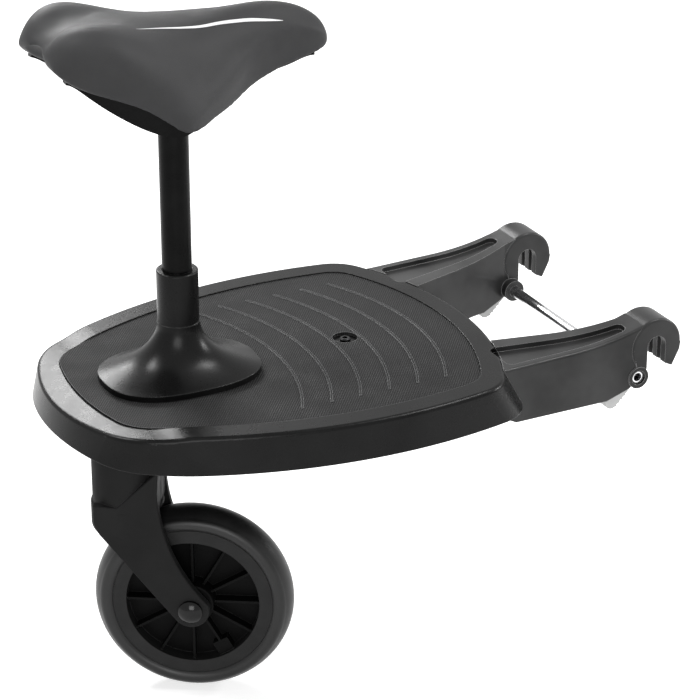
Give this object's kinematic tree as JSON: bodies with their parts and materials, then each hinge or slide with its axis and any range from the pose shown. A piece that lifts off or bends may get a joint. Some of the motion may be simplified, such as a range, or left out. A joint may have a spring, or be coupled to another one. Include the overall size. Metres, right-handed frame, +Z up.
{
  "type": "buggy board",
  "caption": "Ride-on board that hooks behind a pushchair, with a standing deck, a lift-out saddle on a post, a swivelling caster wheel and a locking rod.",
  "frame": {"origin": "axis of the two hooks, where the pushchair's tube lies, on the board's centre plane", "axes": "+X forward past the hooks, +Y to the rider's left along the hooked tube, +Z up"},
  "size_m": [0.5354, 0.32, 0.6042],
  "materials": {
    "black_plastic": "satin moulded",
    "wheel_plastic": "satin moulded",
    "mat_rubber": "fine diagonal weave",
    "tyre_rubber": "smooth",
    "saddle_vinyl": "matte with a fine grain",
    "gloss_plastic": "gloss",
    "post_paint": "satin paint",
    "bright_steel": "bright drawn",
    "pale_plastic": "satin moulded",
    "bush_plastic": "smooth",
    "fastener_steel": "dark plated"
  },
  "bodies": {
    "board": {"deck": "black_plastic", "grip_mat": "mat_rubber", "mat_screw": "fastener_steel", "left_arm": "black_plastic", "right_arm": "black_plastic", "arm_screws": "fastener_steel", "seat_socket": "black_plastic", "socket_screws": "fastener_steel", "swivel_housing": "black_plastic", "housing_screws": "fastener_steel", "upper_swivel_bush": "bush_plastic", "lower_swivel_bush": "bush_plastic"},
    "seat": {"seat_post": "post_paint", "saddle_base": "gloss_plastic", "saddle_cover": "saddle_vinyl", "saddle_bolt": "fastener_steel", "saddle_nut": "fastener_steel"},
    "lock": {"cross_rod": "bright_steel", "left_lock_lever": "pale_plastic", "right_lock_lever": "pale_plastic", "lever_pins": "fastener_steel"},
    "caster": {"caster_fork": "black_plastic", "swivel_stem": "fastener_steel", "stem_washer": "fastener_steel", "stem_nut": "fastener_steel", "thrust_washer": "bush_plastic", "axle_bolt": "fastener_steel", "axle_nut": "fastener_steel", "near_axle_cap": "gloss_plastic", "far_axle_cap": "gloss_plastic"},
    "wheel": {"wheel_rim": "wheel_plastic", "tyre": "tyre_rubber", "near_wheel_bearing": "fastener_steel", "far_wheel_bearing": "fastener_steel", "bearing_spacer": "fastener_steel"}
  },
  "joints": [
    {"name": "seat_lift", "type": "slide", "parent": "board", "child": "seat", "axis": [0, 0, 1], "range_m": [0, 0.095]},
    {"name": "lock_turn", "type": "hinge", "parent": "board", "child": "lock", "pos_m": [-0.0171, 0, -0.0265], "axis": [0, 1, 0], "range_deg": [0, 65]},
    {"name": "caster_swivel", "type": "hinge", "parent": "board", "child": "caster", "pos_m": [-0.4436, 0, -0.046], "axis": [0, 0, 1], "continuous": true},
    {"name": "wheel_spin", "type": "hinge", "parent": "caster", "child": "wheel", "pos_m": [-0.39653, -0.02884, -0.189], "axis": [0.5225, 0.8526, 0], "continuous": true}
  ]
}
